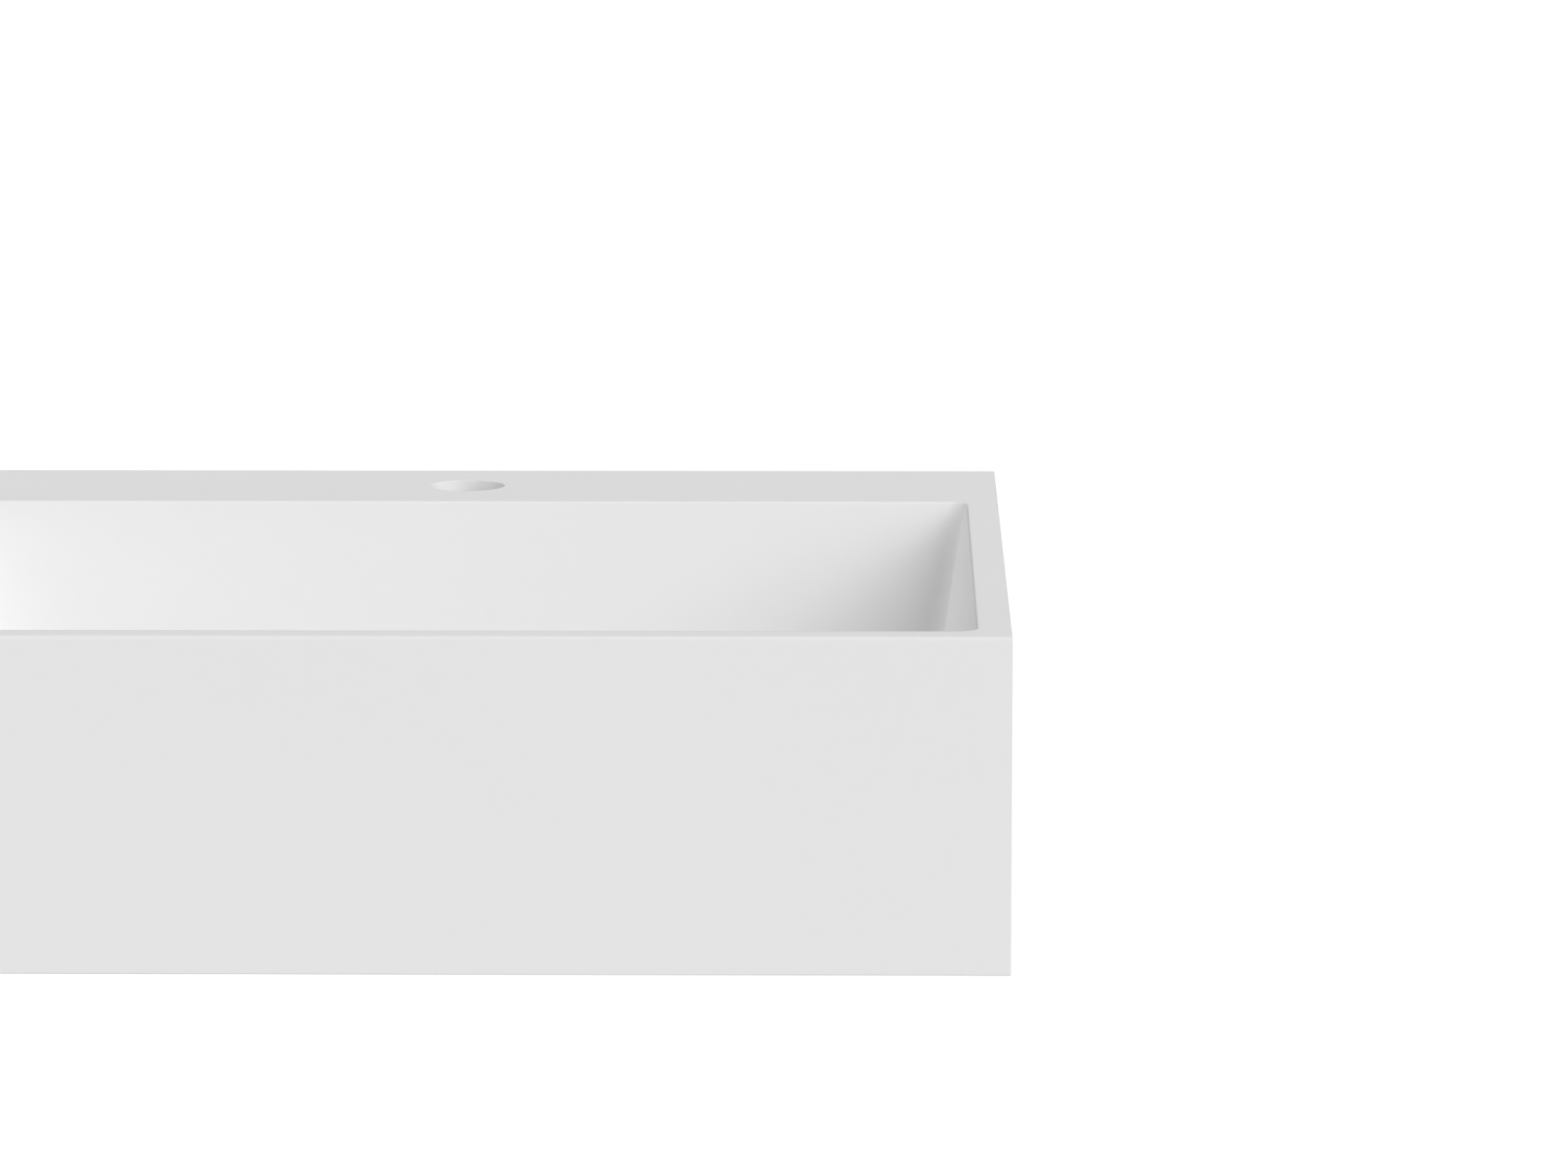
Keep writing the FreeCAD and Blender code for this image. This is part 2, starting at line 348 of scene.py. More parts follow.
class Wiring:
    """Lays nodes into a node tree and joins them."""

    ROW_LENGTH = 8
    SPACING = (200, -300)

    def __init__(self, tree: bpy.types.NodeTree) -> None:
        """Start on a tree."""
        self.tree = tree
        self.count = 0

    @classmethod
    def of(cls, owner: bpy.types.Material | bpy.types.World) -> "Wiring":
        """Start on the emptied nodes of a material or a world.

        Args:
            owner: The material or world.

        Returns:
            Its wiring.
        """
        owner.use_nodes = True
        owner.node_tree.nodes.clear()
        return cls(owner.node_tree)

    def add(self, kind: str, inputs: dict | None = None, **settings: object) -> bpy.types.Node:
        """Add one node.

        Args:
            kind: The node's type.
            inputs: The source or the plain value of its inputs, by name or number.
            settings: Its properties.

        Returns:
            The node.
        """
        node = self.tree.nodes.new(kind)
        row, column = divmod(self.count, self.ROW_LENGTH)
        node.location = (column * self.SPACING[0], row * self.SPACING[1])
        self.count += 1
        for name, value in settings.items():
            setattr(node, name, value)
        for name, value in (inputs or {}).items():
            if isinstance(value, Socket):
                self.tree.links.new(value, node.inputs[name])
            else:
                node.inputs[name].default_value = value
        return node

    def noise(self, at: Socket, scale: Socket | float, detail: float = 3.0) -> Socket:
        """Add a noise pattern at these coordinates, with its scale per metre and its layers of detail."""
        look = {"Vector": at, "Scale": scale, "Detail": detail}
        return self.add("ShaderNodeTexNoise", look).outputs["Fac"]

    def math(self, operation: str, *terms: Socket | float) -> Socket:
        """Add a Math node for up to three terms."""
        return self.add("ShaderNodeMath", dict(enumerate(terms)), operation=operation).outputs["Value"]

    def blend(self, share: Socket, first: Socket | Colour, second: Socket | Colour) -> Socket:
        """Blend two colours by a share."""
        return self.add("ShaderNodeMix", {0: share, 6: first, 7: second}, data_type="RGBA").outputs[2]

    def either(self, share: Socket, first: Socket, second: Socket) -> Socket:
        """Mix two shaders by a share."""
        return self.add("ShaderNodeMixShader", {0: share, 1: first, 2: second}).outputs[0]

    def passage(
        self, value: Socket, start: float, end: float,
        first: Socket | float = 1.0, last: Socket | float = 0.0,
    ) -> Socket:
        """Add a soft passage from one value to another.

        Args:
            value: The value that rises.
            start: Where the passage starts.
            end: Where it ends.
            first: What it gives before its start.
            last: What it gives past its end.

        Returns:
            Its value.
        """
        ends = {"From Min": start, "From Max": end, "To Min": first, "To Max": last}
        node = self.add("ShaderNodeMapRange", {"Value": value} | ends, interpolation_type="SMOOTHSTEP")
        return node.outputs["Result"]

    def effect(self, effect: Effect, at: Socket, finish: "Finish") -> Socket:
        """Place a shared effect, whose inputs are named like the fields of the finish.

        Args:
            effect: The effect.
            at: The coordinates it reads.
            finish: The finish that gives its values.

        Returns:
            The effect's output.
        """
        tree = bpy.data.node_groups[effect.value]
        node = self.add("ShaderNodeGroup", {"At": at}, node_tree=tree)
        for place in node.inputs[1:]:
            place.default_value = getattr(finish, place.name.lower().replace(" ", "_"))
        return node.outputs[0]


class EffectShelf:
    """Builds each shared node group once."""

    PATCH_EDGES = (0.3, 0.7)
    WANDER_SCALE = 60.0

    @staticmethod
    def open_group(
        effect: Effect, *names: str, colours: tuple[str, ...] = ()
    ) -> tuple[Wiring, dict[str, Socket]]:
        """Make a group with its inputs, of which At holds the coordinates.

        Args:
            effect: The effect that it holds.
            names: The numbers going in.
            colours: The colours going in.

        Returns:
            The group's wiring, and what goes in, by name.
        """
        group = bpy.data.node_groups.new(effect.value, "ShaderNodeTree")
        kinds = {"At": "NodeSocketVector"} | dict.fromkeys(colours, "NodeSocketColor")
        kinds |= dict.fromkeys(names, "NodeSocketFloat")
        for name, kind in kinds.items():
            group.interface.new_socket(name=name, in_out="INPUT", socket_type=kind)
        wiring = Wiring(group)
        given = wiring.add("NodeGroupInput").outputs
        return wiring, {name: given[name] for name in kinds}

    @staticmethod
    def close_group(wiring: Wiring, name: str, result: Socket, kind: str = "NodeSocketFloat") -> None:
        """Give a group its one output."""
        wiring.tree.interface.new_socket(name=name, in_out="OUTPUT", socket_type=kind)
        wiring.add("NodeGroupOutput", {name: result})

    @classmethod
    def tone_drift(cls) -> None:
        """Build the colour that drifts between two tones in broad clouds, with a fine speckle."""
        names = ("Cloud Scale", "Speckle Scale", "Speckle Share")
        wiring, given = cls.open_group(Effect.DRIFT, *names, colours=("Tone", "Other Tone"))
        cloud = wiring.noise(given["At"], given["Cloud Scale"])
        speckle = wiring.noise(given["At"], given["Speckle Scale"], detail=1.0)
        shares = {"Factor": given["Speckle Share"], "A": cloud, "B": speckle}
        spread = wiring.add("ShaderNodeMix", shares, data_type="FLOAT").outputs["Result"]
        tone = wiring.blend(spread, given["Tone"], given["Other Tone"])
        cls.close_group(wiring, "Colour", tone, "NodeSocketColor")

    @classmethod
    def uneven_sheen(cls) -> None:
        """Build the roughness that varies in soft patches between two values."""
        wiring, given = cls.open_group(Effect.SHEEN, "Low Sheen", "High Sheen", "Patch Scale")
        clouds = wiring.noise(given["At"], given["Patch Scale"], detail=4.0)
        patches = wiring.passage(clouds, *cls.PATCH_EDGES, given["Low Sheen"], given["High Sheen"])
        cls.close_group(wiring, "Roughness", patches)

    @classmethod
    def fine_grain(cls) -> None:
        """Build the height of a fine grain on a broad, shallow waviness."""
        wiring, given = cls.open_group(Effect.GRAIN, "Grain Scale", "Wave Scale", "Wave Share")
        grain = wiring.noise(given["At"], given["Grain Scale"], detail=5.0)
        wave = wiring.noise(given["At"], given["Wave Scale"], detail=1.0)
        cls.close_group(wiring, "Height", wiring.math("MULTIPLY_ADD", wave, given["Wave Share"], grain))

    @classmethod
    def turning_marks(cls) -> None:
        """Build the height of a lathe's fine rings, round the Z axis and along it."""
        wiring, given = cls.open_group(Effect.TURNING, "Rings", "Ring Wander")
        x, y, z = wiring.add("ShaderNodeSeparateXYZ", {"Vector": given["At"]}).outputs
        square = wiring.math("MULTIPLY_ADD", y, y, wiring.math("MULTIPLY", x, x))
        reach = wiring.math("ADD", wiring.math("SQRT", square), z)
        phase = wiring.math("MULTIPLY", reach, given["Rings"])
        wander = wiring.noise(given["At"], cls.WANDER_SCALE, detail=2.0)
        phase = wiring.math("MULTIPLY_ADD", wander, given["Ring Wander"], phase)
        cls.close_group(wiring, "Height", wiring.math("SINE", phase))

    @classmethod
    def build(cls) -> None:
        """Build all the groups."""
        cls.tone_drift()
        cls.uneven_sheen()
        cls.fine_grain()
        cls.turning_marks()


@dataclass(frozen=True)
class Finish:
    """A surface: two tones that drift into each other, an uneven sheen, and a fine relief."""

    name: str
    tone: Colour
    other_tone: Colour
    low_sheen: float
    high_sheen: float
    metallic: float = 0.0
    cloud_scale: float = 12.0
    speckle_scale: float = 900.0
    speckle_share: float = 0.3
    patch_scale: float = 30.0
    relief: float = 0.1
    relief_depth: float = 0.0001
    grain_scale: float = 1200.0
    wave_scale: float = 8.0
    wave_share: float = 0.0
    rings: float = 0.0
    ring_wander: float = 2.0
    gloss: float = 0.5

    def material(self, centre: Vector | None = None) -> bpy.types.Material:
        """Build the material.

        Args:
            centre: The axis that turning marks run round, where the piece isn't at the origin.

        Returns:
            The material.
        """
        made = bpy.data.materials.new(self.name)
        wiring = Wiring.of(made)
        at = wiring.add("ShaderNodeTexCoord").outputs["Object"]
        if centre is not None:
            at = wiring.add("ShaderNodeMapping", {"Vector": at, "Location": -centre}).outputs["Vector"]
        tone = wiring.effect(Effect.DRIFT, at, self)
        rough = wiring.effect(Effect.SHEEN, at, self)
        height = wiring.effect(Effect.TURNING if self.rings else Effect.GRAIN, at, self)
        relief = {"Strength": self.relief, "Distance": self.relief_depth, "Height": height}
        surface = {"Base Color": tone, "Roughness": rough, "Metallic": self.metallic}
        surface |= {"Specular IOR Level": self.gloss}
        surface["Normal"] = wiring.add("ShaderNodeBump", relief).outputs["Normal"]
        shader = wiring.add("ShaderNodeBsdfPrincipled", surface)
        wiring.add("ShaderNodeOutputMaterial", {"Surface": shader.outputs["BSDF"]})
        return made


MINERAL_CAST = Finish(
    "mineral_cast", (0.882, 0.882, 0.882, 1), (0.850, 0.850, 0.850, 1), 0.60, 0.72, gloss=0.06,
    cloud_scale=5.0, speckle_scale=1400.0, speckle_share=0.35, patch_scale=7.0, relief=0.12,
    relief_depth=0.00004, grain_scale=1800.0, wave_scale=5.0, wave_share=20.0,
)
CHROME = Finish(
    "polished_chrome", (0.58, 0.585, 0.59, 1), (0.53, 0.535, 0.54, 1), 0.06, 0.13, metallic=1.0,
    cloud_scale=40.0, patch_scale=90.0, relief=0.05, relief_depth=0.00002, grain_scale=500.0,
)
TURNED_BRASS = Finish(
    "turned_brass", (0.74, 0.54, 0.27, 1), (0.60, 0.42, 0.19, 1), 0.22, 0.36, metallic=1.0,
    cloud_scale=60.0, patch_scale=120.0, relief=0.25, relief_depth=0.00005, rings=12000.0,
)
BLACK_RUBBER = Finish(
    "black_rubber", (0.028, 0.028, 0.03, 1), (0.05, 0.05, 0.052, 1), 0.62, 0.8, cloud_scale=80.0,
    patch_scale=60.0, relief=0.3, relief_depth=0.0001, grain_scale=1500.0,
)
GREY_SILICONE = Finish(
    "grey_silicone", (0.16, 0.165, 0.17, 1), (0.20, 0.205, 0.21, 1), 0.38, 0.5, cloud_scale=90.0,
    patch_scale=80.0, relief=0.15, relief_depth=0.00005, grain_scale=1100.0,
)
WHITE_PLASTIC = Finish(
    "white_acetal", (0.72, 0.72, 0.70, 1), (0.66, 0.66, 0.64, 1), 0.34, 0.46, cloud_scale=120.0,
    patch_scale=150.0, relief=0.15, relief_depth=0.00004, grain_scale=1600.0,
)


@dataclass(frozen=True)
class Part:
    """One model and where its two copies go; {} in a name stands for the side."""

    piece: str
    make: Callable[[], Piece]
    body: str
    slot: str
    node: str
    finish: Finish


@dataclass
class Place:
    """Where one waste stands: its axis, and the level of its flange's underside."""

    side: Side
    at: Vector

    @classmethod
    def of(cls, side: Side) -> "Place":
        """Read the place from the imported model.

        Args:
            side: The washing place.

        Returns:
            The place.
        """
        low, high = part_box(side.value + "_plug_cap")
        middle = (low + high) / 2
        return cls(side, Vector((middle.x, middle.y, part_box("flange_seals")[1].z)))

    def fit(self, model: Piece, part: Part) -> None:
        """Copy a finished model to this place and put it in the frame.

        Args:
            model: The model, made round the Z axis with the flange's underside at height zero.
            part: What it is, and the node that it stands for.
        """
        side = self.side.value
        twin = Bench.copy(model, side + "_" + part.piece)
        twin.location = self.at
        bpy.ops.object.transform_apply(location=True, rotation=False, scale=False)
        twin.data.materials.clear()
        twin.data.materials.append(part.finish.material(self.at))
        stands_for, slot, body = part.node.format(side), part.slot, part.body.format(side)
        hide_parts(stands_for)
        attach(twin, body)
        LOG.info("%s: %d faces", twin.name, len(twin.data.polygons))


@dataclass
class Waste:
    """The waste: flange, conical seat, threaded tail, and the spider in its throat."""

    flange_radius: float = 0.0325
    flange_thickness: float = 0.0025
    flange_round: float = 0.0008
    throat_radius: float = 0.0175
    seat_width: float = 0.004
    seat_drop: float = 0.0015
    crest_radius: float = 0.020955
    root_radius: float = 0.0195
    neck_length: float = 0.005
    tail_length: float = 0.075
    break_top: float = -0.036
    break_bottom: float = -0.038
    thread_pitch: float = 0.002309
    thread_steps: int = 48
    crest_share: float = 0.25
    base_share: float = 0.92
    hub_radius: float = 0.0075
    hub_bore: float = 0.0041
    hub_top: float = -0.040
    hub_height: float = 0.006
    arm_width: float = 0.0026
    arm_edge: float = 0.0014
    arm_count: int = 3

    def shell(self) -> Piece:
        """Make the flange and the tail, with the tail's wall at the thread's root.

        Returns:
            The shell.
        """
        end_round = self.crest_radius - self.root_radius
        outline = [(self.flange_radius, 0), (self.flange_radius, self.flange_thickness)]
        outline += [(self.throat_radius + self.seat_width, self.flange_thickness)]
        outline += [(self.throat_radius, -self.seat_drop), (self.throat_radius, -self.tail_length)]
        outline += [(self.root_radius, -self.tail_length)]
        outline += [(self.root_radius, -self.neck_length - end_round)]
        outline += [(self.crest_radius, -self.neck_length), (self.crest_radius, 0)]
        outline += [(self.flange_radius, 0)]
        return Bench.soften(Bench.turned("waste_shell", outline), self.flange_round)

    def thread(self, top: float, bottom: float) -> Piece:
        """Wind one stretch of thread from a tooth's outline.

        Args:
            top: The level where it ends.
            bottom: The level where it starts.

        Returns:
            The thread, closed at both ends and sunk a little into the shell.
        """
        pitch = self.thread_pitch
        turns = int((top - bottom) / pitch) - 1
        depth = self.crest_radius - self.root_radius
        inner = self.root_radius - depth / 4
        middle = (inner + self.crest_radius) / 2
        at = (middle, 0, bottom + pitch / 2)
        Bench.clear()
        bpy.ops.mesh.primitive_plane_add(size=1, location=at, rotation=(QUARTER_TURN, 0, 0))
        tooth = Bench.adopt("thread")
        Bench.edit(tooth)
        size = (self.crest_radius - inner, 1, pitch * self.base_share)
        bpy.ops.transform.resize(value=size, center_override=at)
        Bench.pick(Pick.EDGES, lambda point: point.x > middle)
        bpy.ops.transform.resize(value=(1, 1, self.crest_share), center_override=at)
        bpy.ops.mesh.select_all(action="SELECT")
        bpy.ops.mesh.delete(type="ONLY_FACE")
        Bench.apply(
            tooth, "SCREW", angle=FULL_TURN, screw_offset=pitch, iterations=turns, steps=self.thread_steps,
            render_steps=self.thread_steps, axis="Z",
        )
        Bench.edit(tooth)
        ends = (bottom + pitch, bottom + pitch * turns)
        Bench.pick(
            Pick.POINTS,
            lambda point: abs(point.y) < depth / 100 and point.x > 0 and not ends[0] < point.z < ends[1],
        )
        bpy.ops.transform.translate(value=(-depth, 0, 0))
        bpy.ops.mesh.select_all(action="SELECT")
        bpy.ops.mesh.fill_holes(sides=4)
        Bench.close()
        return tooth

    def spider(self) -> Piece:
        """Make the hub and its arms, thinner at their lower edges.

        Returns:
            The spider.
        """
        low = self.hub_top - self.hub_height
        ring = [(self.hub_bore, low), (self.hub_radius, low), (self.hub_radius, self.hub_top)]
        ring += [(self.hub_bore, self.hub_top), (self.hub_bore, low)]
        parts = [Bench.turned("hub", ring, RING_STEPS // 2)]
        start = self.hub_radius - self.arm_width / 2
        reach = (self.throat_radius + self.root_radius) / 2
        middle = ((start + reach) / 2, 0, (low + self.hub_top) / 2)
        share = self.arm_edge / self.arm_width
        for index in range(self.arm_count):
            arm = Bench.cube("arm", (reach - start, self.arm_width, self.hub_height), middle)
            Bench.pick(Pick.FACES, lambda point: point.z < middle[2])
            bpy.ops.transform.resize(value=(1, share, 1), center_override=middle)
            Bench.take(arm)
            arm.rotation_euler.z = QUARTER_TURN + index * FULL_TURN / self.arm_count
            bpy.ops.object.transform_apply(location=False, rotation=True, scale=False)
            parts.append(arm)
        return Bench.soften(Bench.join("spider", *parts), self.arm_edge / 4, 2)

    def build(self) -> Piece:
        """Make the whole waste.

        Returns:
            The model, round the Z axis.
        """
        upper = self.thread(-self.neck_length, self.break_top)
        lower = self.thread(self.break_bottom, -self.tail_length)
        return Bench.smooth(Bench.join("waste_model", upper, lower, self.spider(), self.shell()))


@dataclass
class Plug:
    """The push-open plug: cap, seal and stem."""

    cap_radius: float = 0.0315
    cap_level: float = 0.011
    rim_height: float = 0.0018
    crown_height: float = 0.0012
    crown_rings: int = 8
    rim_round: float = 0.0005
    spigot_radius: float = 0.0145
    spigot_drop: float = 0.0034
    stem_radius: float = 0.003
    stem_top: float = 0.012
    stem_bottom: float = -0.026
    stem_point: float = 0.0006
    bore_gap: float = 0.0001
    seal_radius: float = 0.01818
    seal_lip: float = 0.0006

    def cap(self) -> Piece:
        """Make the cap: a low crown with a rolled rim, and the spigot that takes the stem.

        Returns:
            The cap.
        """
        bore = self.stem_radius + self.bore_gap
        low = self.cap_level - self.spigot_drop
        rim = self.cap_level + self.rim_height
        outline = [(0, self.stem_top + self.bore_gap), (bore, self.stem_top + self.bore_gap), (bore, low)]
        outline += [(self.spigot_radius, low), (self.spigot_radius, self.cap_level)]
        outline += [(self.cap_radius, self.cap_level)]
        for index in range(self.crown_rings, 0, -1):
            share = index / self.crown_rings
            outline.append((self.cap_radius * share, rim + self.crown_height * (1 - share * share)))
        outline.append((0, rim + self.crown_height))
        return Bench.smooth(Bench.soften(Bench.turned("cap_model", outline), self.rim_round))

    def seal(self) -> Piece:
        """Make the ring on the spigot, with a soft lip at its lower edge.

        Returns:
            The seal.
        """
        inner = self.spigot_radius + self.bore_gap
        low = self.cap_level - self.spigot_drop
        high = self.cap_level - self.bore_gap
        neck = self.seal_radius - self.seal_lip
        outline = [(inner, low), (neck, low), (self.seal_radius, low + self.seal_lip)]
        outline += [(self.seal_radius, low + 2 * self.seal_lip), (neck, low + 3 * self.seal_lip)]
        outline += [(neck, high), (inner, high), (inner, low)]
        return Bench.smooth(Bench.soften(Bench.turned("seal_model", outline), self.seal_lip / 3, 2))

    def stem(self) -> Piece:
        """Make the stem, pointed a little at its lower end.

        Returns:
            The stem.
        """
        tip = self.stem_radius - self.stem_point
        outline = [(0, self.stem_bottom), (tip, self.stem_bottom)]
        outline += [(self.stem_radius, self.stem_bottom + self.stem_point)]
        outline += [(self.stem_radius, self.stem_top - self.stem_point)]
        outline += [(tip, self.stem_top), (0, self.stem_top)]
        return Bench.smooth(Bench.turned("stem_model", outline, RING_STEPS // 2))


@dataclass
class Cartridge:
    """The closed housing of the push-open catch, with grips above its shank."""

    radius: float = 0.0065
    top: float = -0.008
    shoulder: float = -0.040
    bottom: float = -0.0475
    shank_radius: float = 0.004
    bore: float = 0.00308
    bore_bottom: float = -0.0345
    collar_height: float = 0.003
    collar_step: float = 0.0005
    grip_top: float = -0.034
    grip_depth: float = 0.0005
    edge_round: float = 0.0003

    def is_grip(self, corners: list[Vector]) -> bool:
        """Tell whether a face is one of the grips: every second face round the foot.

        Args:
            corners: The face's corners.

        Returns:
            Whether it is a grip.
        """
        middle = sum(corners, Vector()) / len(corners)
        turn = math.floor(math.atan2(middle.y, middle.x) / FULL_TURN * RING_STEPS / 2)
        outer = math.hypot(middle.x, middle.y) > self.radius - self.collar_step
        return outer and self.shoulder < middle.z < self.grip_top and turn % 2 == 1

    def build(self) -> Piece:
        """Make the housing: a collar at the top, a plain barrel, and sunk grips at its foot.

        Returns:
            The housing.
        """
        barrel = self.radius - self.collar_step
        collar = self.top - self.collar_height
        outline = [(0, self.bottom), (self.shank_radius, self.bottom), (self.shank_radius, self.shoulder)]
        outline += [(self.radius, self.shoulder), (self.radius, self.grip_top)]
        outline += [(barrel, self.grip_top + self.collar_step), (barrel, collar - self.collar_step)]
        outline += [(self.radius, collar), (self.radius, self.top), (self.bore, self.top)]
        outline += [(self.bore, self.bore_bottom), (0, self.bore_bottom)]
        housing = Bench.turned("cartridge_model", outline, RING_STEPS // 2)
        Bench.edit(housing)
        Bench.choose(Pick.FACES, self.is_grip)
        bpy.ops.mesh.inset(thickness=self.grip_depth / 5, depth=-self.grip_depth, use_individual=True)
        return Bench.smooth(Bench.soften(housing, self.edge_round, 2))


@dataclass
class ClampRings:
    """The flat seal in the floor's recess, the washer below the floor, and the nut that clamps them."""

    flange_seal_inner: float = 0.023755
    flange_seal_outer: float = 0.0317
    flange_seal_thickness: float = 0.0015
    bore: float = 0.021055
    washer_radius: float = 0.033
    washer_bottom: float = -0.015
    washer_top: float = -0.0115
    collar_radius: float = 0.022655
    collar_top: float = -0.0093
    nut_flats: float = 0.054
    nut_bottom: float = -0.024
    nut_bevel: float = 0.0015
    nut_bevel_angle: float = 30.0
    nut_corners: int = 6
    nut_edge_angle: float = 20.0
    edge_round: float = 0.0004

    def flange_seal(self) -> Piece:
        """Make the flat seal.

        Returns:
            The seal.
        """
        low = -self.flange_seal_thickness
        inner, outer = self.flange_seal_inner, self.flange_seal_outer
        outline = [(inner, low), (outer, low), (outer, 0), (inner, 0), (inner, low)]
        return Bench.smooth(Bench.soften(Bench.turned("flange_seal_model", outline), self.edge_round))

    def washer(self) -> Piece:
        """Make the washer with its centring collar.

        Returns:
            The washer.
        """
        outline = [(self.bore, self.washer_bottom), (self.washer_radius, self.washer_bottom)]
        outline += [(self.washer_radius, self.washer_top), (self.collar_radius, self.washer_top)]
        outline += [(self.collar_radius, self.collar_top), (self.bore, self.collar_top)]
        outline += [(self.bore, self.washer_bottom)]
        return Bench.smooth(Bench.soften(Bench.turned("washer_model", outline), self.edge_round))

    def nut(self) -> Piece:
        """Make the nut: a hexagon with its lower corners turned off and its bore cut through.

        Returns:
            The nut.
        """
        corner = self.nut_flats / 2 / math.cos(math.pi / self.nut_corners)
        top = self.washer_bottom
        middle = (top + self.nut_bottom) / 2
        bevel_rise = self.nut_bevel * math.tan(math.radians(self.nut_bevel_angle))
        blank = [(self.bore, self.nut_bottom), (corner - self.nut_bevel, self.nut_bottom)]
        blank += [(corner, self.nut_bottom + bevel_rise), (corner, top)]
        blank += [(self.bore, top), (self.bore, self.nut_bottom)]
        nut = Bench.turned("nut_model", blank)
        Bench.clear()
        bpy.ops.mesh.primitive_cylinder_add(
            vertices=self.nut_corners, radius=corner, depth=2 * (top - self.nut_bottom),
            location=(0, 0, middle), rotation=(0, 0, QUARTER_TURN),
        )
        hexagon = Bench.adopt("hexagon")
        Bench.apply(nut, "BOOLEAN", object=hexagon, operation="INTERSECT", solver="EXACT")
        bpy.data.objects.remove(hexagon)
        return Bench.smooth(Bench.soften(nut, self.edge_round, 2, self.nut_edge_angle))


@dataclass
class BasinShell:
    """The cast shell: apron, rims, divider, deck, two bowls that fall to their wastes, open underside."""

    width: float = 1.0
    depth: float = 0.48
    top: float = 0.075
    base: float = -0.070
    front_round: float = 0.0018
    front_steps: int = 5
    edge_round: float = 0.0005
    edge_steps: int = 3
    base_edge: float = 0.0004
    rim: float = 0.015
    divider: float = 0.020
    deck: float = 0.100
    bowl_depth: float = 0.095
    bowl_draft: float = 10.0
    bowl_round: float = 0.0075
    bowl_round_steps: int = 8
    mouth_round: float = 0.0012
    mouth_steps: int = 4
    floor_fall: float = 0.006
    recess_depth: float = 0.004
    recess_radius: float = 0.0337
    waste_hole_radius: float = 0.022955
    recess_edge: float = 0.0005
    floor_underside: float = -0.040
    wall: float = 0.015
    deck_underside: float = 0.059
    web: float = 0.012
    under_draft: float = 1.5
    under_round: float = 0.014
    under_steps: int = 6
    under_cove: float = 0.005
    cove_steps: int = 4
    tap_setback: float = 0.050
    tap_radius: float = 0.0175
    tap_edge: float = 0.0003
    fixing_radius: float = 0.007
    fixing_spacing: float = 0.280
    # The line and edge values below shape painted shade: a darker tone along the bowls' mouths and the
    # front's top edge.
    painted_shade_tone: Colour = (0.66, 0.66, 0.66, 1)
    line_reach: float = 0.0016
    line_front_share: float = 0.5
    line_drop: float = 0.0010
    line_fade: float = 0.020
    line_rear_share: float = 0.15
    front_edge_shade_share: float = 0.22
    edge_ahead: tuple[float, float] = (0.6, 1.2)
    edge_above: tuple[float, float] = (0.5, 1.0)
    mouth_corner: float = 0.008
    overrun: float = 0.005

    @staticmethod
    def block(name: str, mouth: Mouth, level: float, far: float, draft: float) -> Piece:
        """Make a block that narrows from its mouth to its far face, and leave it in edit mode.

        Args:
            name: The block's name.
            mouth: Where its mouth lies.
            level: The mouth's height.
            far: The far face's height.
            draft: How far its walls lean, in degrees.

        Returns:
            The block.
        """
        x_low, x_high, y_low, y_high = mouth
        size = (x_high - x_low, y_high - y_low, abs(far - level))
        middle = ((x_low + x_high) / 2, (y_low + y_high) / 2, (level + far) / 2)
        made = Bench.cube(name, size, middle)
        lean = 2 * size[2] * math.tan(math.radians(draft))
        Bench.pick(Pick.FACES, lambda at: abs(at.z - far) < size[2] / 10)
        share = (1 - lean / size[0], 1 - lean / size[1], 1)
        bpy.ops.transform.resize(value=share, center_override=(middle[0], middle[1], far))
        return made

    @staticmethod
    def cut(shell: Piece, *cutters: Piece) -> None:
        """Take the cutters' shapes out of the shell.

        Args:
            shell: The shell.
            cutters: Closed shapes that don't touch each other.
        """
        cutter = Bench.join("cutter", *cutters) if len(cutters) > 1 else cutters[0]
        Bench.apply(shell, "BOOLEAN", object=cutter, operation="DIFFERENCE", solver="EXACT")
        bpy.data.objects.remove(cutter)

    def places(self) -> list[float]:
        """Return the X of each bowl's middle."""
        middle = (self.divider / 2 + self.width / 2 - self.rim) / 2
        return [-middle, middle]

    def waste_line(self) -> float:
        """Return the Y of both wastes."""
        return -(self.deck + self.depth - self.rim) / 2

    def bowl_mouth(self, x: float) -> Mouth:
        """Return the mouth of the bowl whose middle is at this X."""
        half = (self.width / 2 - self.rim - self.divider / 2) / 2
        return x - half, x + half, self.rim - self.depth, -self.deck

    def outside(self) -> Piece:
        """Make the outer block, soft along the front's top edge and crisp at its other edges.

        Returns:
            The block.
        """
        mouth = (-self.width / 2, self.width / 2, -self.depth, 0)
        shell = self.block("basin_shell", mouth, self.base, self.top, 0)
        near = self.edge_round
        Bench.pick(Pick.EDGES, lambda at: at.z > self.top - near and at.y < near - self.depth)
        bpy.ops.mesh.bevel(offset=self.front_round, segments=self.front_steps)
        Bench.pick_edges(
            lambda start, end: min(start.z, end.z) > 0
            and (min(start.y, end.y) > -near or abs(start.x - end.x) < near)
        )
        bpy.ops.mesh.bevel(offset=near, segments=self.edge_steps)
        Bench.pick_edges(
            lambda start, end: max(start.y, end.y) < near - self.depth
            and abs(start.z - end.z) > self.bowl_depth
        )
        bpy.ops.mesh.bevel(offset=near, segments=self.edge_steps)
        Bench.pick(Pick.EDGES, lambda at: at.z < self.base + near)
        bpy.ops.mesh.bevel(offset=self.base_edge, segments=1)
        return shell

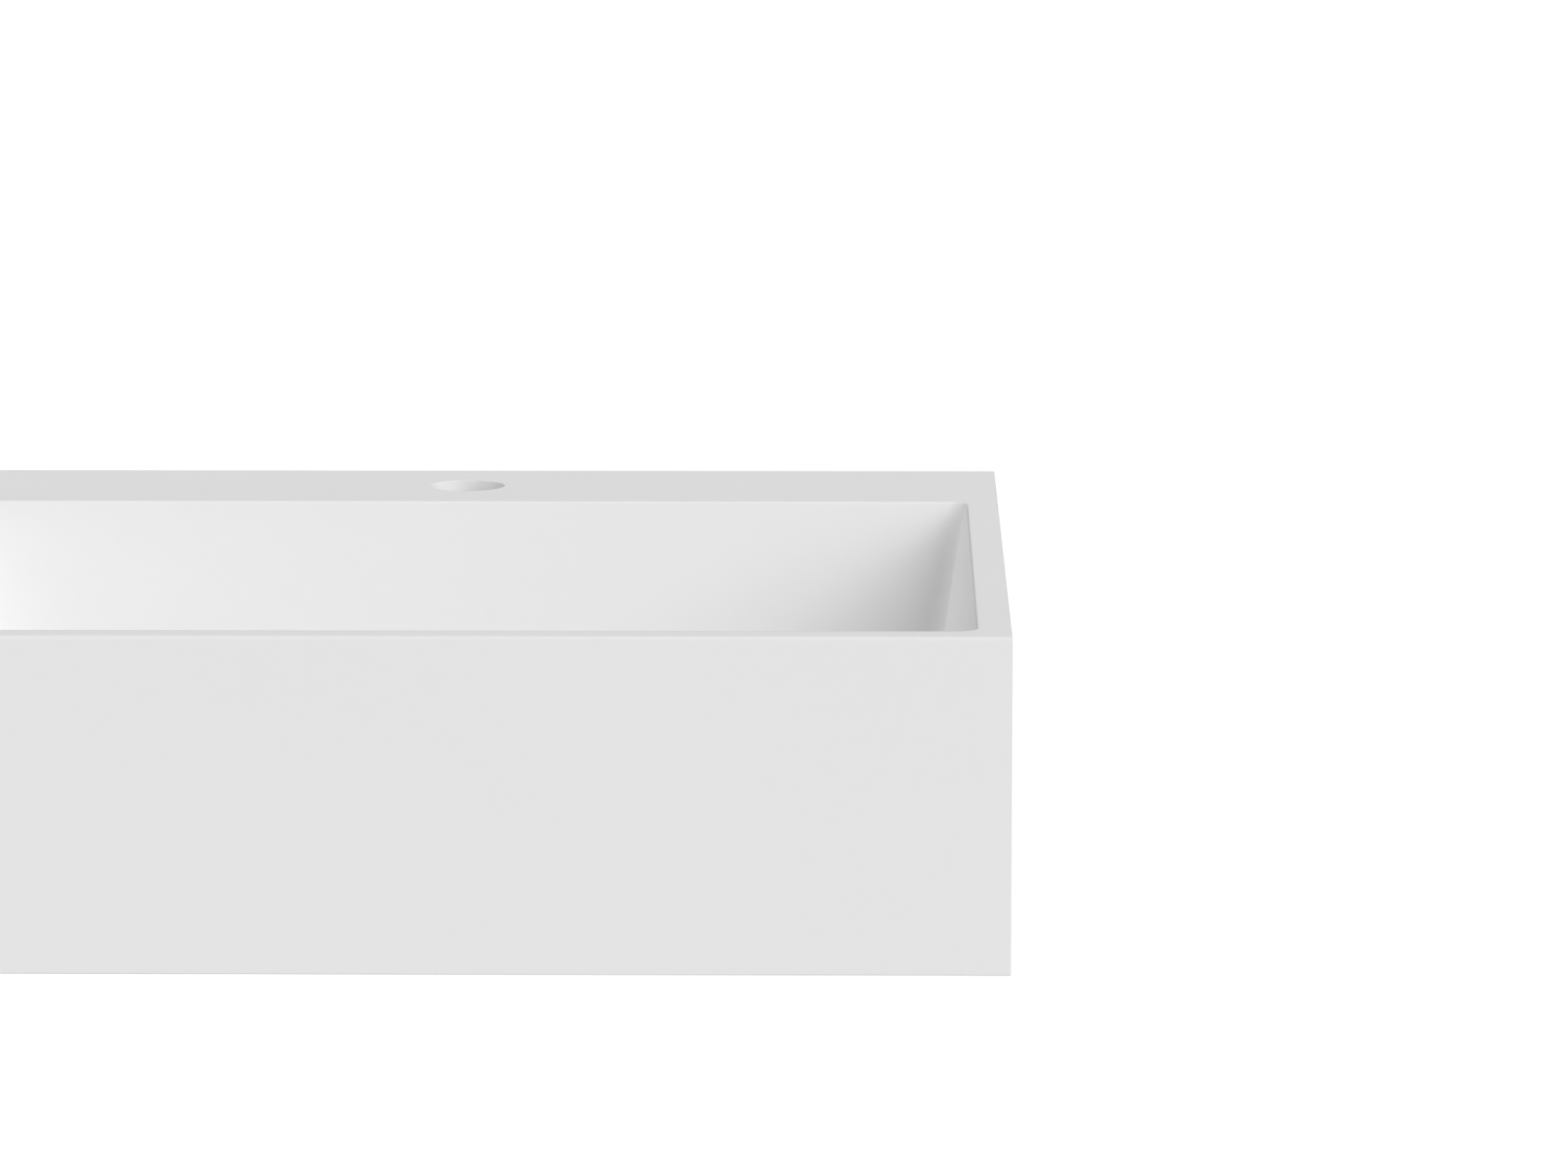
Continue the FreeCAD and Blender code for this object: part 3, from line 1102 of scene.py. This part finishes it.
    def bowl(self, x: float) -> Piece:
        """Make one bowl's shape: leaning walls, rounded corners and foot, and a floor with falls.

        Args:
            x: The bowl's middle.

        Returns:
            The shape.
        """
        floor = self.top - self.bowl_depth
        bowl = self.block("bowl", self.bowl_mouth(x), self.top, floor, self.bowl_draft)
        Bench.pick_edges(lambda start, end: min(start.z, end.z) < self.top - self.edge_round)
        bpy.ops.mesh.bevel(offset=self.bowl_round, segments=self.bowl_round_steps)
        Bench.pick(Pick.FACES, lambda at: at.z < floor + self.edge_round / 10)
        Bench.lift(-self.floor_fall)
        bpy.ops.mesh.merge(type="CENTER")
        Bench.pick(Pick.FACES, lambda at: at.z > self.top - self.edge_round / 10)
        Bench.lift(self.overrun)
        return bowl

    def hollow(self, mouth: Mouth, level: float, far: float, cove: bool) -> Piece:
        """Make the shape of one space on the underside.

        Args:
            mouth: Where its mouth lies.
            level: The mouth's height.
            far: The height of its ceiling.
            cove: Whether its ceiling has a cove.

        Returns:
            The shape.
        """
        hollow = self.block("hollow", mouth, level, far, self.under_draft)
        slack = (far - level) / 10
        Bench.pick_edges(lambda start, end: abs(start.z - end.z) > slack)
        bpy.ops.mesh.bevel(offset=self.under_round, segments=self.under_steps)
        if cove:
            Bench.pick(Pick.EDGES, lambda at: at.z > far - slack)
            bpy.ops.mesh.bevel(offset=self.under_cove, segments=self.cove_steps)
        Bench.pick(Pick.FACES, lambda at: at.z < level + slack)
        Bench.lift(-self.overrun)
        return hollow

    def drill(self, outline: list[Point], x: float, y: float, turn: float = 0.0) -> Piece:
        """Make the shape of one round hole.

        Args:
            outline: Radius and height of its rings.
            x: Its middle's X.
            y: Its middle's Y.
            turn: How far it is turned about X.

        Returns:
            The shape.
        """
        drill = Bench.turned("drill", outline)
        Bench.take(drill)
        drill.rotation_euler.x = turn
        drill.location = (x, y, 0)
        bpy.ops.object.transform_apply(location=True, rotation=True, scale=False)
        return drill

    def carve_bowls(self, shell: Piece) -> None:
        """Cut the bowls and round the edges of their mouths.

        Args:
            shell: The outer block.
        """
        self.cut(shell, *[self.bowl(x) for x in self.places()])
        slack = self.mouth_round / 10
        inside = self.rim / 2
        Bench.edit(shell)
        Bench.pick(
            Pick.EDGES,
            lambda at: at.z > self.top - slack
            and abs(at.x) < self.width / 2 - inside
            and inside - self.depth < at.y < -inside,
        )
        bpy.ops.mesh.bevel(offset=self.mouth_round, segments=self.mouth_steps)

    def carve_underside(self, shell: Piece) -> None:
        """Cut one wide space below the bowls, and a channel below each half of the deck.

        Args:
            shell: The shell with its bowls.
        """
        half = self.width / 2 - self.wall
        wide = (-half, half, self.wall - self.depth, -self.wall)
        self.cut(shell, self.hollow(wide, self.base, self.floor_underside, False))
        inset = (self.floor_underside - self.base) * math.tan(math.radians(self.under_draft))
        near, far = self.web / 2, half - inset
        front, back = self.wall - self.deck, -self.wall - inset
        channels = [(-far, -near, front, back), (near, far, front, back)]
        levels = (self.floor_underside, self.deck_underside)
        self.cut(shell, *[self.hollow(channel, *levels, True) for channel in channels])

    def drill_holes(self, shell: Piece) -> None:
        """Drill the waste holes with their recesses, the tap holes and the wall fixings.

        Args:
            shell: The carved shell.
        """
        seat = self.top - self.bowl_depth - self.floor_fall - self.recess_depth
        low, high = self.floor_underside - self.overrun, seat + 2 * self.floor_fall
        waste = [(0, low), (self.waste_hole_radius, low), (self.waste_hole_radius, seat)]
        waste += [(self.recess_radius, seat), (self.recess_radius, high), (0, high)]
        self.cut(shell, *[self.drill(waste, x, self.waste_line()) for x in self.places()])
        low, high = self.deck_underside - self.overrun, self.top + self.overrun
        tap = [(0, low), (self.tap_radius, low), (self.tap_radius, self.top - self.tap_edge)]
        tap += [(self.tap_radius + self.tap_edge / 4, self.top - self.tap_edge / 4)]
        tap += [(self.tap_radius + self.tap_edge + self.overrun, high), (0, high)]
        self.cut(shell, *[self.drill(tap, x, -self.tap_setback) for x in self.places()])
        start, end = -self.overrun, self.wall + self.overrun
        bolt = [(0, start), (self.fixing_radius, start), (self.fixing_radius, end), (0, end)]
        spots = [x + step * self.fixing_spacing for x in self.places() for step in (-0.5, 0.5)]
        self.cut(shell, *[self.drill(bolt, x, 0, QUARTER_TURN) for x in spots])

    def soften_recesses(self, shell: Piece) -> None:
        """Round the edges of the recesses and clean the finished mesh.

        Args:
            shell: The drilled shell.
        """
        Bench.edit(shell)
        x, y = self.places()[1], self.waste_line()
        edge_level = self.top - self.bowl_depth - self.floor_fall - self.recess_depth / 2
        slack = self.recess_edge / 5
        Bench.pick(
            Pick.EDGES,
            lambda at: at.z > edge_level
            and abs(math.hypot(abs(at.x) - x, at.y - y) - self.recess_radius) < slack,
        )
        bpy.ops.mesh.bevel(offset=self.recess_edge, segments=self.edge_steps)
        Bench.close()

    def paint_edge_shade(self, made: bpy.types.Material) -> None:
        """Paint shade as a darker narrow line along the bowls' mouths and the front's top edge, which dims
        the highlights on these rounded edges.

        Args:
            made: The shell's material.
        """
        wiring = Wiring(made.node_tree)
        shader = next(node for node in made.node_tree.nodes if node.type == "BSDF_PRINCIPLED")
        tone = shader.inputs["Base Color"].links[0].from_socket
        at = wiring.add("ShaderNodeTexCoord").outputs["Object"]
        x, y, z = wiring.add("ShaderNodeSeparateXYZ", {"Vector": at}).outputs
        middle = self.places()[1]
        left, right, low, high = self.bowl_mouth(middle)
        across = (wiring.math("ABSOLUTE", x), middle, (right - left) / 2, 1.0)
        along = (y, (low + high) / 2, (high - low) / 2, self.line_front_share)
        squares = []
        for place, middle, reach, share in (across, along):
            off = wiring.math("ABSOLUTE", wiring.math("SUBTRACT", place, middle))
            off = wiring.math("SUBTRACT", off, reach)
            off = wiring.math("MINIMUM", off, wiring.math("MULTIPLY", off, share))
            out = wiring.math("MAXIMUM", wiring.math("ADD", off, self.mouth_corner), 0.0)
            squares.append(wiring.math("MULTIPLY", out, out))
        far = wiring.math("SQRT", wiring.math("ADD", *squares))
        beside = wiring.passage(far, self.mouth_corner, self.mouth_corner + self.line_reach)
        below = wiring.passage(wiring.math("SUBTRACT", self.top, z), 0.0, self.line_drop)
        rear = wiring.passage(y, high - self.line_fade, high, last=self.line_rear_share)
        mouth = wiring.math("MULTIPLY", wiring.math("MULTIPLY", beside, below), rear)
        ahead = wiring.passage(y, *[share * self.front_round - self.depth for share in self.edge_ahead])
        above = wiring.passage(z, *[self.top - share * self.front_round for share in self.edge_above])
        edge = wiring.math("MULTIPLY", wiring.math("MULTIPLY", ahead, above), self.front_edge_shade_share)
        # Painted shade: the base colour turns darker along the mouth line and the front's top edge, dimming
        # their highlights.
        tone = wiring.blend(wiring.math("MAXIMUM", mouth, edge), tone, self.painted_shade_tone)
        made.node_tree.links.new(tone, shader.inputs["Base Color"])

    def build(self) -> None:
        """Make the shell, finish it and put it in the frame."""
        shell = self.outside()
        self.carve_bowls(shell)
        self.carve_underside(shell)
        self.drill_holes(shell)
        self.soften_recesses(shell)
        Bench.smooth(shell)
        cast = MINERAL_CAST.material()
        # Paints shade along the mouths and the front's top edge into the shell's colour.
        self.paint_edge_shade(cast)
        shell.data.materials.append(cast)
        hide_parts("basin_body")
        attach(shell, "basin")
        LOG.info("%s: %d faces", shell.name, len(shell.data.polygons))


@dataclass(frozen=True)
class Lamp:
    """A soft lamp far off, placed by its turn to the right of the front and its height, in degrees."""

    name: str
    turn: float
    rise: float
    strength: float
    spread: float

    def towards(self) -> Vector:
        """Return the direction from the basin to the lamp."""
        turn, rise = math.radians(self.turn), math.radians(self.rise)
        return Vector((math.sin(turn) * math.cos(rise), -math.cos(turn) * math.cos(rise), math.sin(rise)))


LAMPS = (
    Lamp("key_low", 22.0, 19.0, 1.04, 40.0),
    Lamp("key_high", 40.0, 42.0, 0.66, 38.0),
    Lamp("fill_left", -90.0, 35.0, 0.70, 30.0),
    Lamp("fill_right", 78.0, 30.0, 0.75, 30.0),
    Lamp("fill_back", 180.0, 55.0, 0.20, 30.0),
)


@dataclass
class Studio:
    """A pale floor, soft light from the front right with fills at both sides and behind, and the camera."""

    rim_above_floor: float = 0.85
    floor_reach: float = 24.0
    floor_tone: Colour = (0.74, 0.74, 0.74, 1)
    floor_other_tone: Colour = (0.72, 0.72, 0.72, 1)
    floor_clouds: float = 0.8
    floor_roughness: float = 0.9
    floor_lift: float = 0.42
    surround: float = 0.245
    lamp_distance: float = 3.0
    camera_at: Triple = (0.44246, -3.42316, 0.57474)
    camera_turn: Triple = (80.7543, 0.0378, 0.7376)
    sensor: float = 36.0
    lens: float = 163.79

    @staticmethod
    def seen_ray(wiring: Wiring) -> Socket:
        """Tell rays that show the background from rays that light the object.

        Args:
            wiring: The material's or world's wiring.

        Returns:
            One for camera, glossy and transmission rays, otherwise zero.
        """
        path = wiring.add("ShaderNodeLightPath").outputs
        gloss = wiring.math("MAXIMUM", path["Is Glossy Ray"], path["Is Transmission Ray"])
        return wiring.math("MAXIMUM", path["Is Camera Ray"], gloss)

    def floor(self) -> None:
        """Lay the floor, which shows nearly white, keeps the shadow, and is clear from below."""
        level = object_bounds()[1].z - self.rim_above_floor
        Bench.clear()
        bpy.ops.mesh.primitive_plane_add(size=self.floor_reach * 2, location=(0, 0, level))
        floor = Bench.adopt("floor")
        made = bpy.data.materials.new("pale_floor")
        wiring = Wiring.of(made)
        clouds = wiring.noise(wiring.add("ShaderNodeTexCoord").outputs["Object"], self.floor_clouds)
        look = {"Base Color": wiring.blend(clouds, self.floor_tone, self.floor_other_tone)}
        look |= {"Roughness": self.floor_roughness, "Emission Color": WHITE}
        look["Emission Strength"] = wiring.math("MULTIPLY", self.seen_ray(wiring), self.floor_lift)
        shader = wiring.add("ShaderNodeBsdfPrincipled", look).outputs["BSDF"]
        below = wiring.add("ShaderNodeNewGeometry").outputs["Backfacing"]
        clear = wiring.add("ShaderNodeBsdfTransparent").outputs["BSDF"]
        wiring.add("ShaderNodeOutputMaterial", {"Surface": wiring.either(below, shader, clear)})
        floor.data.materials.append(made)
        floor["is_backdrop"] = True

    def world(self) -> None:
        """Make the surround: white where it is seen, softer where it lights the object."""
        world = bpy.data.worlds.new("surround")
        bpy.context.scene.world = world
        wiring = Wiring.of(world)
        light, shown = (
            wiring.add("ShaderNodeBackground", {"Color": WHITE, "Strength": strength}).outputs[0]
            for strength in (self.surround, 1.0)
        )
        surface = wiring.either(self.seen_ray(wiring), light, shown)
        wiring.add("ShaderNodeOutputWorld", {"Surface": surface})

    def lamps(self) -> None:
        """Set the lamps."""
        for lamp in LAMPS:
            Bench.clear()
            bpy.ops.object.light_add(type="SUN", location=lamp.towards() * self.lamp_distance)
            made = bpy.context.object
            made.name = lamp.name
            made.rotation_euler = lamp.towards().to_track_quat("Z", "Y").to_euler()
            made.data.energy = lamp.strength
            made.data.angle = math.radians(lamp.spread)

    def camera(self) -> None:
        """Place the camera at the photograph's viewpoint."""
        Bench.clear()
        turn = [math.radians(angle) for angle in self.camera_turn]
        bpy.ops.object.camera_add(location=self.camera_at, rotation=turn)
        camera = bpy.context.object
        camera.name = "camera"
        camera.data.sensor_width = self.sensor
        camera.data.lens = self.lens
        camera.data.clip_end = 4 * self.floor_reach
        bpy.context.scene.camera = camera

    def build(self) -> None:
        """Build the whole studio."""
        self.floor()
        self.world()
        self.lamps()
        self.camera()
        bpy.context.scene.view_settings.view_transform = "Standard"


def washbasin_parts() -> list[Part]:
    """List the small parts that stand at both washing places.

    Returns:
        The parts, from the plug down.
    """
    plug, rings = Plug(), ClampRings()
    waste, housing = Waste().build, Cartridge().build
    moving = "{}_plug"
    return [
        Part("plug_cap_domed", plug.cap, moving, "waste_chrome", "{}_plug_cap", CHROME),
        Part("plug_seal_lipped", plug.seal, moving, "plug_silicone", "{}_plug_seal", GREY_SILICONE),
        Part("plug_stem_turned", plug.stem, moving, "stem_brass", "{}_plug_stem", TURNED_BRASS),
        Part("waste", waste, "basin", "waste_chrome", "waste_bodies", CHROME),
        Part("cartridge", housing, "basin", "cartridge_plastic", "click_cartridges", WHITE_PLASTIC),
        Part("flange_seal", rings.flange_seal, "basin", "seal_rubber", "flange_seals", BLACK_RUBBER),
        Part("under_seal", rings.washer, "basin", "seal_rubber", "under_seals", BLACK_RUBBER),
        Part("back_nut", rings.nut, "basin", "nut_brass", "back_nuts", TURNED_BRASS),
    ]


def main() -> None:
    """Build the pieces in order, then the studio."""
    logging.basicConfig(level=logging.INFO, format="%(message)s")
    EffectShelf.build()
    BasinShell().build()
    places = [Place.of(side) for side in Side]
    for part in washbasin_parts():
        model = part.make()
        for place in places:
            place.fit(model, part)
        bpy.data.objects.remove(model)
    Studio().build()


if __name__ == "__main__":
    main()
